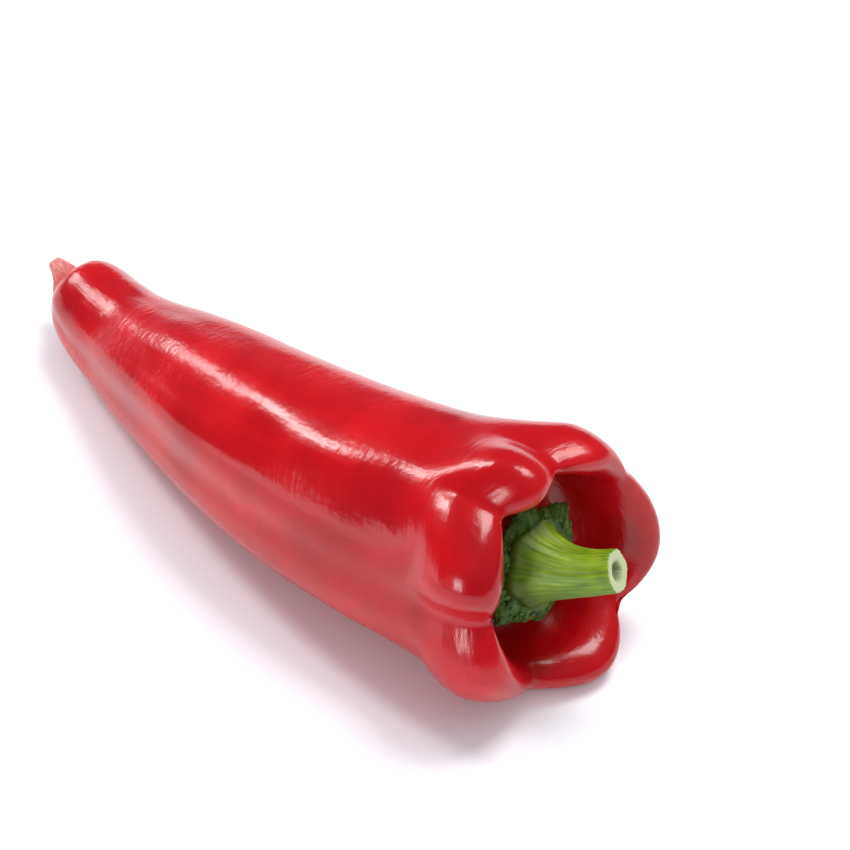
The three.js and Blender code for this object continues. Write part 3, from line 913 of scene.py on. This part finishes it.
def stem_green():
    """Long fibres in greens, with painted shade below and near the calyx, a pale cut and a dark pith."""
    material = bpy.data.materials.new("fibrous green stem")
    material.use_nodes = True
    tree = material.node_tree
    tree.nodes.clear()
    grain = add(tree, "ShaderNodeAttribute", attribute_name="grain")
    stretched = add(tree, "ShaderNodeMapping", {
        "Vector": grain.outputs["Vector"], "Scale": (1, 1, FIBRE_STRETCH)})
    fibres = add(tree, "ShaderNodeTexNoise", {
        "Vector": stretched.outputs[0], "Scale": 1 / FIBRE_WIDTH, "Detail": 3.0, "Roughness": 0.6})
    clouds = add(tree, "ShaderNodeTexNoise", {
        "Vector": grain.outputs["Vector"], "Scale": 1 / CLOUD_SIZE, "Detail": 3.0, "Roughness": 0.5})
    blend = add(tree, "ShaderNodeMath", {0: fibres.outputs[0], 1: clouds.outputs[0]}, operation="ADD")
    mean = add(tree, "ShaderNodeMath", {0: blend.outputs[0], 1: 0.5}, operation="MULTIPLY")
    ramp = add(tree, "ShaderNodeValToRGB", {"Fac": mean.outputs[0]})
    ramp.color_ramp.elements[0].position = 0.33
    ramp.color_ramp.elements[0].color = linear(STEM_GREENS[0])
    ramp.color_ramp.elements[1].position = 0.64
    ramp.color_ramp.elements[1].color = linear(STEM_GREENS[1])
    length = add(tree, "ShaderNodeSeparateXYZ", {0: grain.outputs["Vector"]})
    # Painted shade near the calyx: the first few millimetres of the stem are darkened.
    root = add(tree, "ShaderNodeMapRange", {
        "Value": length.outputs[2], "From Min": 0.5, "From Max": 5.0, "To Min": 0.8, "To Max": 0.0})
    # Painted shade: the stem's lower side is darkened, as if turned away from the lights overhead.
    underside_shade = add(tree, "ShaderNodeMapRange", {
        "Value": length.outputs[1], "From Min": 1.5, "From Max": -5.0, "To Min": 0.0, "To Max": 0.75})
    with_underside_shade = add(tree, "ShaderNodeMix", {
        0: underside_shade.outputs[0], 6: ramp.outputs[0], 7: linear(UNDERSIDE_SHADE_GREEN)}, data_type="RGBA")
    with_root_shade = add(tree, "ShaderNodeMix", {
        0: root.outputs[0], 6: with_underside_shade.outputs[2], 7: linear(ROOT_SHADE_GREEN)}, data_type="RGBA")
    cut = add(tree, "ShaderNodeMapRange", {
        "Value": length.outputs[2], "From Min": CUT_LENGTH - 0.15, "From Max": CUT_LENGTH + 0.25,
        "To Min": 0.0, "To Max": 1.0})
    cut_face = add(tree, "ShaderNodeMix", {
        0: cut.outputs[0], 6: with_root_shade.outputs[2], 7: linear(CUT_GREEN)}, data_type="RGBA")
    pith = add(tree, "ShaderNodeMapRange", {
        "Value": length.outputs[2], "From Min": PITH_LENGTH - 0.6, "From Max": PITH_LENGTH + 0.8,
        "To Min": 0.0, "To Max": 0.85})
    colour = add(tree, "ShaderNodeMix", {
        0: pith.outputs[0], 6: cut_face.outputs[2], 7: linear(PITH_GREEN)}, data_type="RGBA")
    shine = add(tree, "ShaderNodeMapRange", {
        "Value": clouds.outputs[0], "From Min": 0.3, "From Max": 0.7, "To Min": 0.34, "To Max": 0.5})
    bump = add(tree, "ShaderNodeBump", {
        "Height": fibres.outputs[0], "Strength": 0.16, "Distance": BUMP_DISTANCE})
    shader = add(tree, "ShaderNodeBsdfPrincipled", {
        "Base Color": colour.outputs[2], "Roughness": shine.outputs[0], "IOR": 1.43,
        "Subsurface Weight": 0.1, "Subsurface Radius": (0.5, 0.8, 0.15), "Subsurface Scale": 0.0015,
        "Normal": bump.outputs[0]})
    add(tree, "ShaderNodeOutputMaterial", {"Surface": shader.outputs[0]})
    return material


stem_material = stem_green()

# %% The stem
STEM_GRAIN = 6    # radius at which the growth coordinates run around the stem

stem_grain = grain_of(stem_points, stem_first, stem_last, STEM_GRAIN)
stem = as_object(skin_mesh("stem_stalk", stem_first, stem_points, stem_last, stem_grain))
stem.data.materials.append(stem_material)
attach(stem, "root")
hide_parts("stem")

# %% [markdown]
# ## Stage, light and camera
#
# The pepper lies on a plain white table that runs on past every edge of the picture. The wax
# shows each light as a shape of its own, so each panel has one job. Two panels beyond the tip
# draw the highlights on the crest and the tip, one overhead lights the tops of the lobes, one in
# front lights the near lobes, and a low one gives the pale band on the near side. A wide fill,
# which the wax doesn't mirror, lights everything softly. The room itself is dim and a little
# cool, so that the red stays deep, and the table lights the fruit's lower sides from below.


# %% Floor
FLOOR_HALF = 2.5    # metres
FLOOR_WHITE = "#F8FBFF"
FLOOR_ROUGHNESS = 0.7


def floor_material():
    """Plain matt white board."""
    material = bpy.data.materials.new("matt white board")
    material.use_nodes = True
    shader = material.node_tree.nodes["Principled BSDF"]
    shader.inputs["Base Color"].default_value = linear(FLOOR_WHITE)
    shader.inputs["Roughness"].default_value = FLOOR_ROUGHNESS
    return material


floor_mesh = bpy.data.meshes.new("floor")
floor_mesh.from_pydata(
    [(-FLOOR_HALF, -FLOOR_HALF, 0), (FLOOR_HALF, -FLOOR_HALF, 0), (FLOOR_HALF, FLOOR_HALF, 0),
     (-FLOOR_HALF, FLOOR_HALF, 0)], [], [(0, 1, 2, 3)])
floor = as_object(floor_mesh)
floor.data.materials.append(floor_material())

# %% Lights
# Each row: name, direction from the pepper, distance, width and depth in metres, and watts.
PANELS = (
    ("window panel", (-0.92, 0.05, 0.37), 2.2, 0.5, 0.4, 8),
    ("small panel", (-0.745, -0.05, 0.65), 2.2, 0.3, 0.75, 16),
    ("overhead panel", (0.05, 0.36, 0.92), 2.2, 0.9, 0.9, 30),
    ("front panel", (0.24, -0.9, 0.36), 2.2, 0.5, 0.85, 17),
    ("low side panel", (-0.53, -0.84, 0.09), 2.2, 1.6, 0.4, 5),
    ("fill", (0.25, 0.35, 1.0), 2.0, 4.2, 4.2, 44),
)
ROOM_COLOUR = "#DCE8FF"
ROOM_STRENGTH = 0.16


def panel(name, towards, distance, width, depth, power):
    """A soft rectangular panel that faces the pepper from a direction."""
    light = bpy.data.lights.new(name, "AREA")
    light.shape = "RECTANGLE"
    light.size, light.size_y = width, depth
    light.energy = power
    thing = bpy.data.objects.new(name, light)
    place = Vector(towards).normalized() * distance
    thing.location = place
    thing.rotation_euler = (-place).to_track_quat("-Z", "Y").to_euler()
    bpy.context.scene.collection.objects.link(thing)
    return thing


lamps = {row[0]: panel(*row) for row in PANELS}
lamps["fill"].visible_glossy = False
print("lit by", ", ".join(lamps))

# %% The room
world = bpy.data.worlds.new("dim room")
world.use_nodes = True
background = world.node_tree.nodes["Background"]
background.inputs["Color"].default_value = linear(ROOM_COLOUR)
background.inputs["Strength"].default_value = ROOM_STRENGTH
bpy.context.scene.world = world
bpy.context.scene.view_settings.view_transform = "Standard"

# %% [markdown]
# The camera stands beside the stem end and looks down at the pepper. It is aimed by two shifts
# from the middle of the rim, so it stays on the pepper if the body's shape is changed.

# %% Camera
CAMERA_AZIMUTH = 46.1    # degrees from the -Y side towards the stem end
CAMERA_ELEVATION = 43.25
CAMERA_DISTANCE = 0.85   # metres
VIEW_WIDTH = 0.1736      # metres that the picture spans at that distance
SENSOR = 36
HEAD_HEIGHT = 11         # from the shoulder's centre to the middle of the rim
# From the rim's middle to the point the camera looks at, to the right and up as it sees them.
AIM_SIDE, AIM_UP = -31.87, 32.69

azimuth, elevation = math.radians(CAMERA_AZIMUTH), math.radians(CAMERA_ELEVATION)
back = Vector((math.sin(azimuth) * math.cos(elevation), -math.cos(azimuth) * math.cos(elevation),
               math.sin(elevation)))
right = Vector((math.cos(azimuth), math.sin(azimuth), 0))
up = back.cross(right)
head = Vector((RIM_AXES[0] + HEAD_HEIGHT * RIM_AXES[1] + MOVE) * MM)
aim = head + right * AIM_SIDE * MM + up * AIM_UP * MM
camera_data = bpy.data.cameras.new("camera")
camera_data.lens = SENSOR * CAMERA_DISTANCE / VIEW_WIDTH
camera_data.sensor_width = SENSOR
camera = bpy.data.objects.new("camera", camera_data)
camera.location = aim + back * CAMERA_DISTANCE
camera.rotation_euler = back.to_track_quat("Z", "Y").to_euler()
bpy.context.scene.collection.objects.link(camera)
bpy.context.scene.camera = camera
print("lens", round(camera_data.lens, 1), "mm; aim", [round(v, 4) for v in aim])
